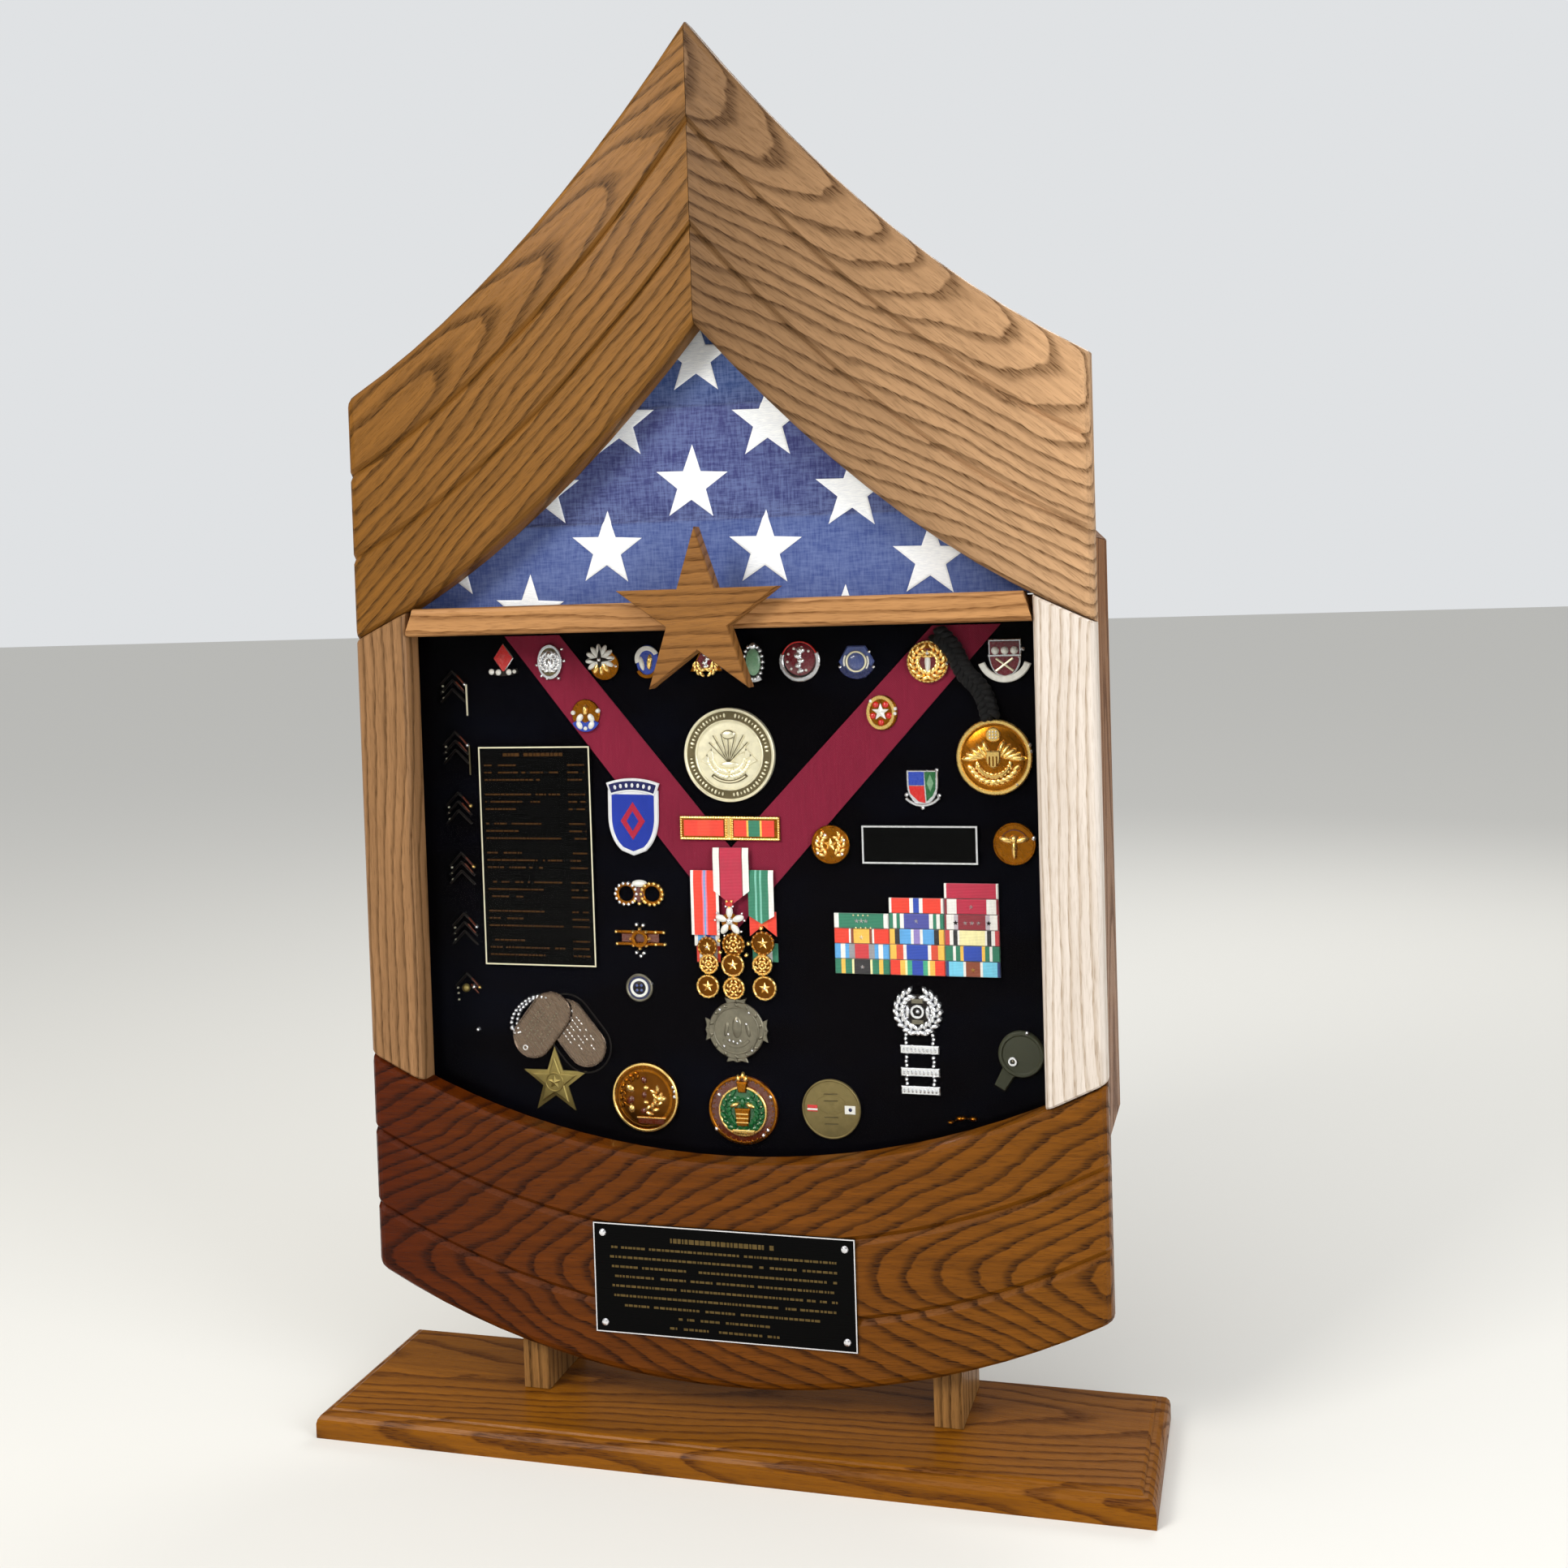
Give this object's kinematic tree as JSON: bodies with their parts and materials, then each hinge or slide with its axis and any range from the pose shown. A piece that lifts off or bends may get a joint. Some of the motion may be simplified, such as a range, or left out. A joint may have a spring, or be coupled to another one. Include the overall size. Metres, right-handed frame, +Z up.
{
  "type": "flag display case",
  "caption": "Oak display case with a glazed folded-flag compartment over a glazed medal board, grooved arched face, base plank and hinged rear door.",
  "frame": {"origin": "under the middle of the base plank, on the surface that it stands on", "axes": "+Z up, -Y towards the viewer in front of the glass, +X to the viewer's right"},
  "size_m": [0.534, 0.14, 0.8908],
  "materials": {
    "oak": "oiled open-grain oak, satin",
    "oak_plywood": "thin oak plywood, satin",
    "clear_glass": "clear flat glass",
    "black_felt": "black felt over board",
    "maroon_ribbon": "maroon grosgrain ribbon, slight sheen",
    "flag_cotton": "dark blue woven cotton with white embroidered stars",
    "brass": "polished brass, lightly toned",
    "zinc_steel": "zinc plated steel",
    "tag_steel": "matte stamped steel",
    "magnet_case": "brown moulded plastic",
    "black_plate": "black lacquered metal with a bright edge line",
    "patch_twill": "embroidered blue twill with a pale border",
    "ribbon_silk": "striped ribbed ribbon",
    "antique_bronze": "antique silvery bronze, worn bright on the raised parts",
    "black_braid": "black plaited cord"
  },
  "bodies": {
    "root": {"base_plank": "oak", "board_retainer_left": "oak", "board_retainer_right": "oak", "board_spacer_left": "oak", "board_spacer_right": "oak", "brass_star": "brass", "button_screw_left": "brass", "button_screw_right": "brass", "button_screw_shelf": "brass", "case_bottom": "oak", "case_roof_left": "oak", "case_roof_right": "oak", "case_side_left": "oak", "case_side_right": "oak", "catch_magnet": "magnet_case", "chevron_left": "oak", "chevron_right": "oak", "display_board": "black_felt", "divider_rail": "oak", "divider_shelf": "oak", "dog_tags": "tag_steel", "flag_cover": "oak_plywood", "flag_glass": "clear_glass", "folded_flag": "flag_cotton", "front_plaque": "black_plate", "front_star": "oak", "gold_coin": "brass", "hinge_lower_frame_leaf": "brass", "hinge_lower_pin": "brass", "hinge_upper_frame_leaf": "brass", "hinge_upper_pin": "brass", "history_plate": "black_plate", "medal_glass": "clear_glass", "medal_row": "ribbon_silk", "name_plate": "black_plate", "plaque_pin_lower_left": "brass", "plaque_pin_lower_right": "brass", "plaque_pin_upper_left": "brass", "plaque_pin_upper_right": "brass", "post_left": "oak", "post_right": "oak", "post_screw_left": "zinc_steel", "post_screw_right": "zinc_steel", "ribbon_bar": "ribbon_silk", "ribbon_rack": "ribbon_silk", "rocker_panel": "oak", "round_medallion": "antique_bronze", "sash_ribbon": "maroon_ribbon", "shield_patch": "patch_twill", "shoulder_cord": "black_braid", "stile_left": "oak", "stile_right": "oak"},
    "rear_door": {"rear_door": "oak_plywood", "door_knob": "brass", "catch_plate": "zinc_steel", "hinge_lower_door_leaf": "brass", "hinge_upper_door_leaf": "brass"},
    "turn_button_left": {"turn_button_left": "brass"},
    "turn_button_right": {"turn_button_right": "brass"},
    "turn_button_shelf": {"turn_button_shelf": "brass"}
  },
  "joints": [
    {"name": "rear_door_hinge", "type": "hinge", "parent": "root", "child": "rear_door", "pos_m": [-0.2285, 0.064, 0.365], "axis": [0, 0, 1], "range_deg": [0, 180]},
    {"name": "turn_button_left_swivel", "type": "hinge", "parent": "root", "child": "turn_button_left", "pos_m": [-0.105, 0.0618, 0.69343], "axis": [0, 1, 0], "continuous": true},
    {"name": "turn_button_right_swivel", "type": "hinge", "parent": "root", "child": "turn_button_right", "pos_m": [0.105, 0.0618, 0.69343], "axis": [0, 1, 0], "continuous": true},
    {"name": "turn_button_shelf_swivel", "type": "hinge", "parent": "root", "child": "turn_button_shelf", "pos_m": [0, 0.0618, 0.525], "axis": [0, 1, 0], "continuous": true}
  ]
}
